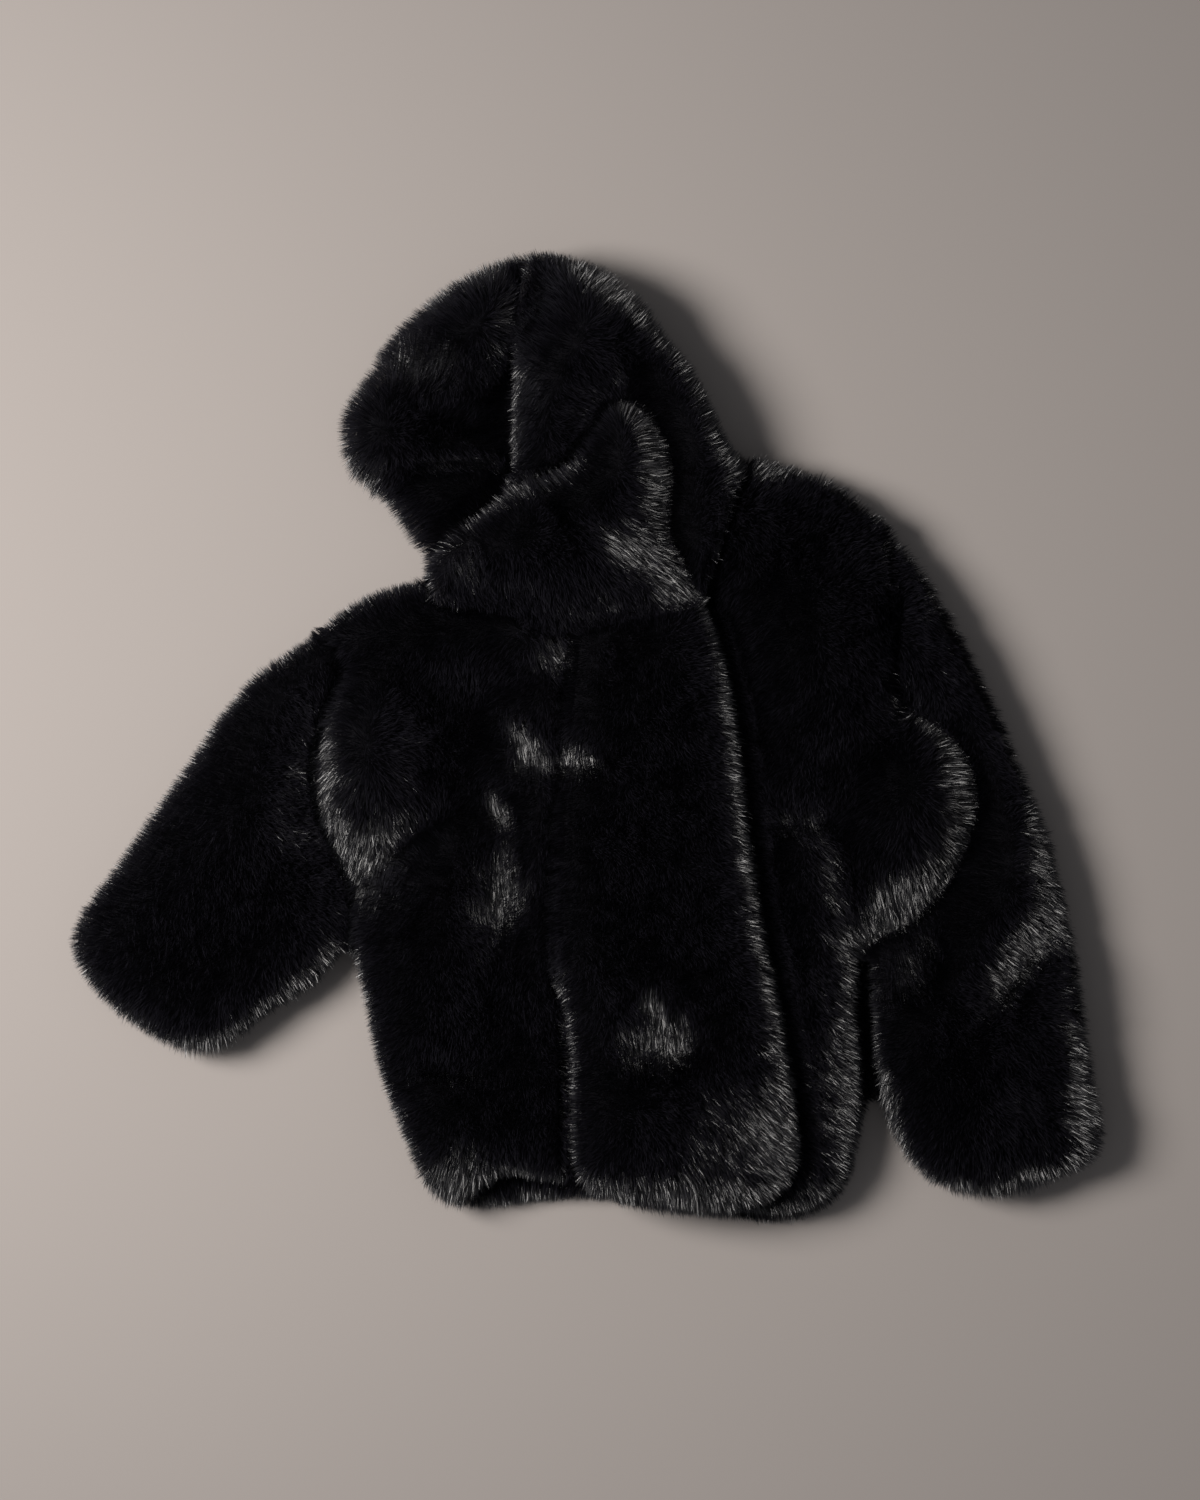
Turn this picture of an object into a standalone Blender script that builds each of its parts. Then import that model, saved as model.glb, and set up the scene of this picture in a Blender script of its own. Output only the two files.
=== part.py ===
"""A hooded faux fur jacket, laid on its back with its front up.

The frame is the jacket's own: +Z up from the surface it lies on, +Y towards the hood, +X towards the
wearer's left. Right and left are the wearer's. Every size is in millimetres until it becomes a mesh.

The garment is laid flat, so each panel is a slab of deep pile on its backing. The lower layer (the back,
the under sleeves and the under half of the hood) lies on the surface, and the upper layer lies on it.
Seen from above, the panels are fields between named lines: seams, folds and free edges. Two panels that
share a line share its points too, and each stands half a seam gap back from it.
"""

from collections import namedtuple

import bpy
import numpy as np
from mathutils import Vector
from mathutils.geometry import delaunay_2d_cdt

MM = 0.001

# Layers, as heights above the surface.
GAP = 0.3  # between two panels, at a seam or one on the other
WALL = 20.0  # one layer of backing and pressed pile
HOOD_WALL = 40.0  # the hood is fur outside and inside
UNDER_HOOD_TOP = 48.0  # where the under half of the hood shows
FRONT_TOP = 46.0
SLEEVE_TOP = 49.0
BAND_TOP = 66.0  # the front band lies on the left front
COLLAR_TOP = 78.0
HOOD_TOP = 78.0
ROLL_FOOT = 37.0  # height of a sleeve where the rolled armhole rests against it
NECK_FOOT = 61.0  # height of the hood against the collar, and of both at the neck

# Edges. A free edge is as round as its pile, and a sewn one only dips.
UNDER_ROUND = 7.0
SEAM_WIDTH = 13.0
SEAM_DIP = 6.0
EDGE_SHARE = 0.3  # where a round edge reaches furthest out, as a share of the panel's thickness
THINNEST = 9.0  # least thickness that a crease leaves

# Spacing of the mesh points.
LINE_STEP = 20.0
FIELD_STEP = 20.0
THIN_ROWS = (0.3, 1.0)  # rows of points that follow a round edge, as shares of its radius
DEEP_ROWS = (0.12, 0.42, 0.9)
DEEP_RADIUS = 20.0  # from this radius on, an edge has the deep rows
ROW_CLEARANCE = 0.93  # a row's point keeps this share of its distance from every other edge
POINT_CLEARANCE = 0.55  # two points keep this share of a step apart

# The lines of the plan: points (x, y) that a smooth curve passes through.
LINES = {
    # neck
    "neck_right": [(-163, 165), (-152, 144), (-113, 138), (-73, 129), (-43, 109), (-16, 112)],
    "neck_under_band": [(-16, 112), (6, 120), (30, 126)],
    "neck_middle": [(30, 126), (77, 132), (118, 145)],
    "neck_left": [(118, 145), (134, 195), (150, 248), (157, 285)],
    # wearer's right, seen on the left
    "shoulder_right": [(-163, 165), (-193, 158), (-228, 145), (-272, 112)],
    "armhole_right_head": [(-272, 112), (-250, 91), (-241, 71)],
    "armhole_right_fold": [(-241, 71), (-256, 46), (-272, 8), (-275, -27), (-268, -79), (-251, -112),
                           (-239, -142), (-236, -205)],
    "side_right": [(-236, -205), (-220, -277), (-208, -332), (-182, -402)],
    "hem_right": [(-182, -402), (-168, -437), (-148, -457), (-120, -462), (-98, -447), (-84, -430),
                  (-60, -438), (-14, -441)],
    "sleeve_right": [(-272, 112), (-341, 60), (-388, -2), (-438, -74), (-483, -137), (-511, -177),
                     (-519, -203), (-508, -230), (-480, -264), (-433, -297), (-395, -310), (-362, -303),
                     (-309, -266), (-263, -231), (-236, -205)],
    # front band
    "band_seam": [(-16, 112), (-26, 3), (-33, -127), (-32, -232)],
    "band_side": [(-32, -232), (-18, -307), (-18, -387), (-14, -441)],
    "band_hem": [(-14, -441), (12, -453), (72, -467), (132, -470)],
    "band_corner": [(132, -470), (187, -454), (214, -417)],
    "band_edge": [(214, -417), (207, -342), (190, -252), (174, -172), (162, -92), (154, -17), (143, 63),
                  (118, 145)],
    # wearer's left, seen on the right
    "shoulder_left": [(292, 226), (247, 259), (202, 275), (157, 285)],
    "armhole_left_head": [(314, 31), (303, 93), (305, 163), (292, 226)],
    "armhole_left_fold": [(274, -199), (317, -182), (352, -150), (374, -109), (383, -65), (374, -19),
                          (348, 14), (314, 31)],
    "side_left": [(274, -387), (275, -337), (270, -257), (274, -199)],
    "hem_left": [(132, -470), (177, -476), (227, -469), (260, -437), (274, -387)],
    "sleeve_left": [(274, -199), (279, -222), (284, -277), (287, -335), (293, -365), (314, -407), (344, -441),
                    (397, -454), (462, -441), (507, -419), (517, -385), (506, -327), (495, -249),
                    (483, -172), (466, -107), (445, -50), (411, 33), (372, 113), (330, 181), (292, 226)],
    # back
    "back_side_right": [(-236, -205), (-222, -277), (-210, -332), (-185, -402)],
    "back_hem": [(-185, -402), (-148, -461), (-113, -470), (-58, -462), (-8, -460), (52, -468),
                 (112, -478), (177, -484), (232, -476), (265, -445), (277, -392)],
    "back_side_left": [(277, -392), (282, -377), (288, -360), (285, -335), (282, -277), (277, -222),
                       (274, -199)],
    "back_armhole_right": [(-272, 112), (-238, 60), (-220, -20), (-219, -110), (-236, -205)],
    "back_armhole_left": [(274, -199), (268, -110), (274, 10), (287, 120), (292, 226)],
    # hood and collar
    "collar_corner": [(-160, 186), (-163, 165)],
    "collar_low": [(-81, 249), (-108, 225), (-143, 205), (-160, 186)],
    "collar_high": [(118, 145), (90, 182), (74, 222), (78, 252), (71, 296), (55, 326), (34, 341),
                    (15, 333), (2, 305), (-18, 281), (-40, 267), (-68, 262), (-81, 249)],
    "hood_crown": [(-61, 490), (-68, 445), (-75, 398)],
    "hood_rim": [(-75, 398), (-80, 352), (-80, 325), (-76, 278), (-81, 249)],
    "hood_back": [(157, 285), (143, 294), (127, 329), (101, 376), (72, 413), (51, 437), (10, 470),
                  (-24, 488), (-61, 490)],
    "hood_brow": [(-61, 490), (-118, 468), (-168, 433), (-206, 391), (-220, 363), (-239, 341),
                  (-247, 308), (-238, 275), (-210, 253), (-175, 205), (-160, 186)],
}

# The folds of what shows. Each is a soft ridge (rise above 0) or trough (below 0) along a line through
# (x, y) at turn degrees from +X, and fades out at the half length and half width. It crosses every
# panel there, unless it is only on the one that it names.
Fold = namedtuple("Fold", "x y turn half_length half_width rise on", defaults=[""])
FOLDS = [
    Fold(-222, -17, 90, 110, 62, 17),  # roll over the right armhole
    Fold(-183, -99, 37, 95, 24, -16),  # crease under that roll
    Fold(-148, -190, 85, 130, 85, 8),  # lower right front
    Fold(-88, -160, 100, 70, 26, -10),
    Fold(-91, -59, 130, 32, 18, -6),
    Fold(-40, -5, -10, 58, 22, -12),  # crescent under the chest
    Fold(-38, -20, 88, 330, 75, 17, "right_front"),  # the front runs level into the band
    Fold(-75, 118, 8, 150, 70, 13, "right_front"),  # and into the collar
    Fold(140, 215, 75, 115, 60, 12, "left_front"),
    Fold(-148, -326, -3, 80, 15, -8),  # level crease above the hem
    Fold(-124, -430, 80, 42, 42, 7),  # hem corner
    Fold(67, -298, 0, 58, 28, -10),  # dent in the band
    Fold(52, -380, 0, 90, 60, 5),
    Fold(242, 100, -70, 190, 120, 15),  # left chest
    Fold(212, -72, -15, 62, 20, -14),  # crease under the chest
    Fold(327, -57, 80, 110, 66, 17),  # roll over the left armhole
    Fold(322, -160, 25, 64, 14, -10),
    Fold(397, -80, -72, 170, 62, 9),  # upper arm
    Fold(424, -222, 57, 90, 24, -16),  # elbow crease
    Fold(342, -232, 65, 52, 17, -9),
    Fold(400, -350, 90, 80, 60, 5),  # forearm
    Fold(-350, -90, 45, 150, 70, 7),  # right upper arm
    Fold(-23, 420, 0, 95, 80, 13),  # crown of the hood
    Fold(24, 412, -80, 78, 24, -10),  # crease behind the crown
    Fold(102, 330, -58, 95, 44, 7),
    Fold(-66, 460, 95, 125, 85, -38, "hood_left"),  # the hood's two halves meet level at the crown
    Fold(-120, 410, 38, 130, 62, 17, "hood_right"),
    Fold(-146, 328, -24, 95, 24, -9),  # crease under the brim
    Fold(-133, 286, 2, 90, 17, -10),  # crease along the inside of the hood
    Fold(-213, 308, 90, 62, 42, 8),  # rolled brow
    Fold(47, 293, 70, 62, 40, 9),  # upper roll of the collar
    Fold(67, 178, 5, 62, 15, -13),  # creases at the throat
    Fold(-31, 223, -35, 42, 13, -9),
    Fold(-90, 170, 20, 60, 34, 5),
]

# A panel's outline is its lines in turn, anticlockwise seen from above. "-" before a name runs it
# backwards, and "~" after it says that this panel's edge is sewn there. Otherwise its edge is round.
# It is no higher than the foot where it lies under a panel named in under, or along a line named
# there, and regains its own height over the reach. Only a folded panel has folds, and points all over
# it to carry them.
Panel = namedtuple("Panel", "outline low top round under foot reach folded")
RIGHT_SLEEVE = "-armhole_right_fold~ -armhole_right_head~ sleeve_right"
LEFT_SLEEVE = "-armhole_left_head~ -armhole_left_fold~ sleeve_left"
NECK_SEWN = "neck_right~ neck_under_band~ neck_middle~ neck_left~"
PANELS = {
    "back": Panel(
        "back_side_right back_hem back_side_left back_armhole_left~ shoulder_left -neck_left~ "
        "-neck_middle~ -neck_under_band~ -neck_right~ shoulder_right back_armhole_right~",
        0, WALL, 13, [], 0, 0, False),
    "right_sleeve_under": Panel("-back_armhole_right~ sleeve_right", 0, WALL, 13, [], 0, 0, False),
    "left_sleeve_under": Panel("-back_armhole_left~ sleeve_left", 0, WALL, 13, [], 0, 0, False),
    "hood_right": Panel(
        NECK_SEWN + " hood_back hood_brow collar_corner",
        0, UNDER_HOOD_TOP, 26, ["hood_left", "collar"], HOOD_WALL, 18, True),
    "left_front": Panel(
        "band_seam~ band_side~ band_hem hem_left side_left armhole_left_fold armhole_left_head~ "
        "shoulder_left -neck_left~ -neck_middle~ -neck_under_band~",
        WALL + GAP, FRONT_TOP, 40, ["front_band"], 2 * WALL, 55, True),
    "right_front": Panel(
        "side_right hem_right -band_side~ -band_seam~ -neck_right~ shoulder_right armhole_right_head~ "
        "armhole_right_fold",
        WALL + GAP, FRONT_TOP, 40, [], 0, 0, True),
    "front_band": Panel(
        "band_seam~ band_side band_hem band_corner band_edge -neck_middle~ -neck_under_band~",
        2 * WALL + GAP, BAND_TOP, 38, [], 0, 0, True),
    "right_sleeve_top": Panel(
        RIGHT_SLEEVE, WALL + GAP, SLEEVE_TOP, 48, ["armhole_right_fold"], ROLL_FOOT, 60, True),
    "left_sleeve_top": Panel(
        LEFT_SLEEVE, WALL + GAP, SLEEVE_TOP, 48, ["armhole_left_fold"], ROLL_FOOT, 60, True),
    "collar": Panel(
        "neck_right~ neck_under_band~ neck_middle~ collar_high collar_low collar_corner",
        HOOD_WALL + GAP, COLLAR_TOP, 40, ["neck_right", "neck_under_band", "neck_middle"], NECK_FOOT, 60,
        True),
    "hood_left": Panel(
        "-collar_high~ neck_left~ hood_back hood_crown~ hood_rim",
        HOOD_WALL + GAP, HOOD_TOP, 46, ["collar", "neck_left"], NECK_FOOT, 70, True),
}

# Colours of the pile, from the photograph, as linear values, and how rough it is.
Look = namedtuple("Look", "colour roughness")
LOOKS = {
    "back": Look((0.0060, 0.0058, 0.0070), 0.62),
    "right_sleeve_under": Look((0.0062, 0.0060, 0.0072), 0.62),
    "left_sleeve_under": Look((0.0064, 0.0060, 0.0072), 0.62),
    "hood_right": Look((0.0070, 0.0066, 0.0080), 0.58),
    "left_front": Look((0.0062, 0.0060, 0.0074), 0.60),
    "right_front": Look((0.0060, 0.0060, 0.0074), 0.60),
    "front_band": Look((0.0066, 0.0064, 0.0078), 0.58),
    "right_sleeve_top": Look((0.0064, 0.0062, 0.0076), 0.60),
    "left_sleeve_top": Look((0.0066, 0.0064, 0.0080), 0.60),
    "collar": Look((0.0072, 0.0068, 0.0084), 0.56),
    "hood_left": Look((0.0068, 0.0066, 0.0082), 0.56),
}


def curve(knots):
    """Points about a line step apart on a smooth curve through the knots."""
    knots = np.array(knots, float)
    time = np.concatenate([[0], np.cumsum(np.sqrt(np.linalg.norm(np.diff(knots, axis=0), axis=1)))])
    slope = np.diff(knots, axis=0) / np.diff(time)[:, None]
    tangent = np.vstack([slope[:1], slope])
    width = np.diff(time)
    for k in range(1, len(knots) - 1):
        share = width[k] / (width[k - 1] + width[k])
        tangent[k] = share * slope[k - 1] + (1 - share) * slope[k]
    tangent[-1] = slope[-1]
    dense = []
    for k in range(len(knots) - 1):
        t = np.linspace(0, 1, 24, endpoint=False)[:, None]
        dense.append((1 + 2 * t) * (1 - t) ** 2 * knots[k] + t * (1 - t) ** 2 * width[k] * tangent[k]
                     + t ** 2 * (3 - 2 * t) * knots[k + 1] - t ** 2 * (1 - t) * width[k] * tangent[k + 1])
    dense = np.vstack(dense + [knots[-1:]])
    along = np.concatenate([[0], np.cumsum(np.linalg.norm(np.diff(dense, axis=0), axis=1))])
    at = np.linspace(0, along[-1], max(1, round(along[-1] / LINE_STEP)) + 1)
    return np.column_stack([np.interp(at, along, dense[:, k]) for k in (0, 1)])


CURVES = {name: curve(knots) for name, knots in LINES.items()}


def loop(panel):
    """The panel's outline as points, and whether the edge that leaves each point is sewn."""
    points = []
    sewn = []
    for word in panel.outline.split():
        run = CURVES[word.strip("-~")]
        if word.startswith("-"):
            run = run[::-1]
        points.append(run[:-1])
        sewn += [word.endswith("~")] * (len(run) - 1)
    return np.vstack(points), np.array(sewn)


def distance(places, ring, used=None):
    """How far each place is from the ring's edges, or from those that are used."""
    start = ring
    end = np.roll(ring, -1, axis=0)
    if used is not None:
        start, end = start[used], end[used]
    if not len(start):
        return np.full(len(places), 1e6)
    along = end - start
    share = ((places[:, None] - start) * along).sum(axis=2) / (along ** 2).sum(axis=1)
    foot = start + np.clip(share, 0, 1)[..., None] * along
    return np.linalg.norm(places[:, None] - foot, axis=2).min(axis=1)


def inside(places, ring):
    """Whether each place is inside the ring."""
    x, y = places[:, :1], places[:, 1:]
    ax, ay = ring.T
    bx, by = np.roll(ring, -1, axis=0).T
    spans = (ay > y) != (by > y)
    reach = ax + (y - ay) * (bx - ax) / np.where(by == ay, 1, by - ay)
    return (spans & (x < reach)).sum(axis=1) % 2 == 1


def inward(ring):
    """At each point of an anticlockwise ring, the step that moves both its edges in by one."""
    edge = np.roll(ring, -1, axis=0) - ring
    edge /= np.linalg.norm(edge, axis=1)[:, None]
    normal = np.column_stack([-edge[:, 1], edge[:, 0]])
    both = normal + np.roll(normal, 1, axis=0)
    return 2 * both / np.maximum((both ** 2).sum(axis=1), 1.0)[:, None]


def spread(ring, rows, step):
    """Points inside a ring: rows that follow its edges, then an even field. None are crowded."""
    kept = np.empty((0, 2))
    for row in rows:
        places = ring + inward(ring) * row
        clear = inside(places, ring) & (distance(places, ring) > row * ROW_CLEARANCE)
        for place in places[clear]:
            gaps = np.linalg.norm(kept - place, axis=1)
            if not len(kept) or gaps.min() > min(row, step) * POINT_CLEARANCE:
                kept = np.vstack([kept, place])
    if not step:
        return kept
    low, high = ring.min(axis=0), ring.max(axis=0)
    for k, y in enumerate(np.arange(low[1], high[1], step * 0.866)):
        x = np.arange(low[0] + step * (k % 2) / 2, high[0], step)
        places = np.column_stack([x, np.full(len(x), y)])
        clear = inside(places, ring) & (distance(places, ring) > (rows[-1] if rows else 0) + step / 2)
        for place in places[clear]:
            gaps = np.linalg.norm(kept - place, axis=1)
            if not len(kept) or gaps.min() > step * POINT_CLEARANCE:
                kept = np.vstack([kept, place])
    return kept


def triangles(ring, extra, creases):
    """Triangles that fill the ring, using the extra points and keeping each crease as an edge."""
    places = np.vstack([ring, extra])
    count = len(ring)
    edges = [(k, (k + 1) % count) for k in range(count)] + creases
    found = delaunay_2d_cdt([Vector(place) for place in places], edges, [], 1, 1e-4)
    if len(found[0]) != len(places):
        raise ValueError("the fill of a panel added or lost points")
    names = [source[0] for source in found[3]]
    faces = []
    for face in found[2]:
        a, b, c = (names[k] for k in face)
        turn = np.cross(places[b] - places[a], places[c] - places[a])
        faces.append((a, b, c) if turn > 0 else (a, c, b))
    return places, faces


def lying_on(panel, ring):
    """The points and creases that panels lying on this one leave on it."""
    known = {tuple(np.round(place, 3)): k for k, place in enumerate(ring)}
    extra = []
    creases = set()
    for name in [name for name in panel.under if name in PANELS]:
        over = loop(PANELS[name])[0]
        within = inside(over, ring) & (distance(over, ring) > LINE_STEP * 0.2)
        for place, is_within in zip(over, within):
            key = tuple(np.round(place, 3))
            if is_within and key not in known:
                known[key] = len(ring) + len(extra)
                extra.append(place)
        keys = [known.get(tuple(np.round(place, 3))) for place in over]
        for a, b in zip(keys, keys[1:] + keys[:1]):
            on_ring = a is None or b is None or (a < len(ring) and b < len(ring))
            if not on_ring and (b, a) not in creases:
                creases.add((a, b))
    return np.array(extra).reshape(-1, 2), sorted(creases)


def ease(share):
    """A smooth step from 0 to 1."""
    share = np.clip(share, 0, 1)
    return share * share * (3 - 2 * share)


def folded(name, places):
    """How much the folds raise each place of a panel."""
    rise = np.zeros(len(places))
    for fold in FOLDS:
        if fold.on not in ("", name):
            continue
        turn = np.radians(fold.turn)
        x = places[:, 0] - fold.x
        y = places[:, 1] - fold.y
        along = (x * np.cos(turn) + y * np.sin(turn)) / fold.half_length
        across = (y * np.cos(turn) - x * np.sin(turn)) / fold.half_width
        rise += fold.rise * ease(1 - np.hypot(along, across))
    return rise


def quarter(share):
    """Height on a quarter circle, from 0 at the edge to 1 where it is level."""
    return np.sqrt(np.maximum(0, 1 - (1 - np.clip(share, 0, 1)) ** 2))


def top_of(name, panel, places, ring, sewn):
    """Height of the panel's upper side at each place."""
    height = np.full(len(places), float(panel.top))
    if panel.folded:
        height += folded(name, places)
    if panel.under:
        apart = np.full(len(places), 1e6)
        for over_name in panel.under:
            if over_name in PANELS:
                over = loop(PANELS[over_name])[0]
                apart = np.minimum(apart, np.where(inside(places, over), 0, distance(places, over)))
            else:
                line = CURVES[over_name]
                apart = np.minimum(apart, distance(places, line, np.arange(len(line) - 1)))
        height = panel.foot + (height - panel.foot) * ease(apart / panel.reach)
    height -= SEAM_DIP * ease(1 - distance(places, ring, sewn) / SEAM_WIDTH) * panel.folded
    height = np.maximum(height, panel.low + THINNEST)
    edge = panel.low + EDGE_SHARE * (height - panel.low)
    return edge + (height - edge) * quarter(distance(places, ring, ~sewn) / panel.round)


def build(name, panel, shift):
    """One panel as a closed mesh in millimetres: its vertices and faces."""
    ring, sewn = loop(panel)
    count = len(ring)
    round_here = ~sewn | ~np.roll(sewn, 1)
    creased, creases = lying_on(panel, ring)
    rows = [share * panel.round for share in (DEEP_ROWS if panel.round >= DEEP_RADIUS else THIN_ROWS)]
    field = spread(ring, rows, FIELD_STEP if panel.folded else 0)
    if len(creased):
        apart = np.linalg.norm(field[:, None] - creased, axis=2).min(axis=1)
        field = field[apart > FIELD_STEP * POINT_CLEARANCE]
    upper, upper_faces = triangles(ring, np.vstack([creased, field]), creases)
    lower, lower_faces = triangles(ring, spread(ring, [UNDER_ROUND], 0), [])

    height = top_of(name, panel, upper, ring, sewn)
    stand_back = inward(ring) * GAP / 2
    upper = upper.copy()
    upper[:count] += stand_back
    lower = lower.copy()
    lower[:count] += stand_back

    # A point on a round edge belongs to both sides. One between two sewn edges has a wall below it.
    walled = np.flatnonzero(~round_here)
    lower_name = np.arange(len(lower))
    lower_name[walled] = len(upper) + np.arange(len(walled))
    inner = np.arange(count, len(lower))
    lower_name[inner] = len(upper) + len(walled) + np.arange(len(inner))
    below = np.concatenate([walled, inner])
    vertices = np.vstack([np.column_stack([upper, height]),
                          np.column_stack([lower[below], np.full(len(below), panel.low)])])
    vertices[:, :2] -= shift

    faces = [tuple(face) for face in upper_faces]
    faces += [tuple(lower_name[k] for k in reversed(face)) for face in lower_faces]
    for k in range(count):
        after = (k + 1) % count
        wall = [lower_name[k], lower_name[after], after, k]
        corners = list(dict.fromkeys(wall))
        if len(corners) == 4:
            faces += [tuple(corners[:3]), (corners[0], corners[2], corners[3])]
        elif len(corners) == 3:
            faces.append(tuple(corners))
    return vertices, [tuple(int(k) for k in face) for face in faces]


def paint(name, look):
    """The panel's own material."""
    material = bpy.data.materials.new("fur_" + name)
    material.use_nodes = True
    shader = material.node_tree.nodes["Principled BSDF"]
    shader.inputs["Base Color"].default_value = (*look.colour, 1.0)
    shader.inputs["Roughness"].default_value = look.roughness
    shader.inputs["Metallic"].default_value = 0.0
    return material


def main():
    for thing in list(bpy.data.objects):
        bpy.data.objects.remove(thing, do_unlink=True)
    plan = np.vstack([loop(panel)[0] for panel in PANELS.values()])
    shift = (plan.min(axis=0) + plan.max(axis=0)) / 2
    for name, panel in PANELS.items():
        vertices, faces = build(name, panel, shift)
        mesh = bpy.data.meshes.new(name)
        mesh.from_pydata((vertices * MM).tolist(), [], faces)
        mesh.materials.append(paint(name, LOOKS[name]))
        mesh.validate()
        thing = bpy.data.objects.new(name, mesh)
        bpy.context.scene.collection.objects.link(thing)


main()
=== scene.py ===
"""Looks for a hooded faux fur jacket that lies on its back: backing cloth, deep pile and a plain studio.

Each panel of the frame gets a backing, which is its own form drawn in by the depth of the pile, and a coat
of strands that stands on the backing and ends about where the frame's panel does. The wearer's right is
on the left from above. +Y runs towards the hood and +Z up from the floor.
"""

import math
from collections import namedtuple

import bmesh
import bpy
import numpy as np
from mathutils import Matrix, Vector
from mathutils.bvhtree import BVHTree


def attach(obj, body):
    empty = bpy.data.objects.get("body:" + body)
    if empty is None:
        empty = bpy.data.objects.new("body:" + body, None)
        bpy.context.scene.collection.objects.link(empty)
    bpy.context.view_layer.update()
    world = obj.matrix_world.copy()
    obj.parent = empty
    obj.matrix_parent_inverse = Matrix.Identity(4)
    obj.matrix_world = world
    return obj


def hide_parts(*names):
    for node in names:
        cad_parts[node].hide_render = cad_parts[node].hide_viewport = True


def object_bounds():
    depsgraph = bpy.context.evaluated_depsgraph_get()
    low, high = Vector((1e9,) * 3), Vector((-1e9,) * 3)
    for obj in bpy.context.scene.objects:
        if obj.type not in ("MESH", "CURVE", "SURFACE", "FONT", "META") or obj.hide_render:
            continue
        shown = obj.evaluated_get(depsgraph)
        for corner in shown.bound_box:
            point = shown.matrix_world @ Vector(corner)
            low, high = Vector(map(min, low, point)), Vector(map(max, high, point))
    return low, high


bl_info = {
    "name": "Faux Fur Jacket",
    "version": (1, 0, 0),
    "blender": (4, 5, 0),
    "location": "3D View > Sidebar > Jacket",
    "description": "Dresses the packed panels of a hooded jacket in backing cloth and deep pile",
    "category": "Object",
}

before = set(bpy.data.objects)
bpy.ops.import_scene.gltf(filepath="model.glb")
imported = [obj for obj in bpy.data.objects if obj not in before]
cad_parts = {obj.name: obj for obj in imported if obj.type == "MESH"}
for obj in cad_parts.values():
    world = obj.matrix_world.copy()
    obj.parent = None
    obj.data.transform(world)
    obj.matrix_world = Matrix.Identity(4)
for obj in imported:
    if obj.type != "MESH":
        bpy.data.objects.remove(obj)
FRAME_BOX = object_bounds()

# How each panel is cut and brushed. flat and area are its cut in metres and square metres. nap is the
# way its pile is brushed, seen from above. lift is how far its backing lies above its underside, in
# millimetres, and rests_on is what it lies on.
Panel = namedtuple("Panel", "flat area nap lift rests_on seed")
BODY = {
    "back": Panel((0.57, 0.77), 0.318, (0.0, -1.0), 0.4, "floor", 11),
    "right_front": Panel((0.27, 0.63), 0.126, (-0.1, -1.0), 0.5, "cloth_back", 12),
    "left_front": Panel((0.43, 0.77), 0.226, (0.1, -1.0), 0.5, "cloth_back", 13),
    "front_band": Panel((0.25, 0.62), 0.121, (0.15, -1.0), 0.5, "cloth_left_front", 14),
}
SLEEVES = {
    "right_sleeve_under": Panel((0.23, 0.43), 0.079, (-0.75, -0.66), 0.4, "floor", 21),
    "right_sleeve_top": Panel((0.22, 0.43), 0.071, (-0.75, -0.66), 0.5, "cloth_right_sleeve_under", 22),
    "left_sleeve_under": Panel((0.20, 0.69), 0.105, (0.35, -0.94), 0.4, "floor", 23),
    "left_sleeve_top": Panel((0.19, 0.69), 0.082, (0.35, -0.94), 0.5, "cloth_left_sleeve_under", 24),
}
HOOD = {
    "hood_right": Panel((0.41, 0.39), 0.112, (-0.8, -0.3), 9.0, "floor", 31),
    "hood_left": Panel((0.24, 0.35), 0.040, (-0.2, 0.9), 0.5, "cloth_hood_right", 32),
    "collar": Panel((0.29, 0.24), 0.040, (0.5, -0.8), 0.5, "cloth_hood_right", 33),
}

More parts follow.
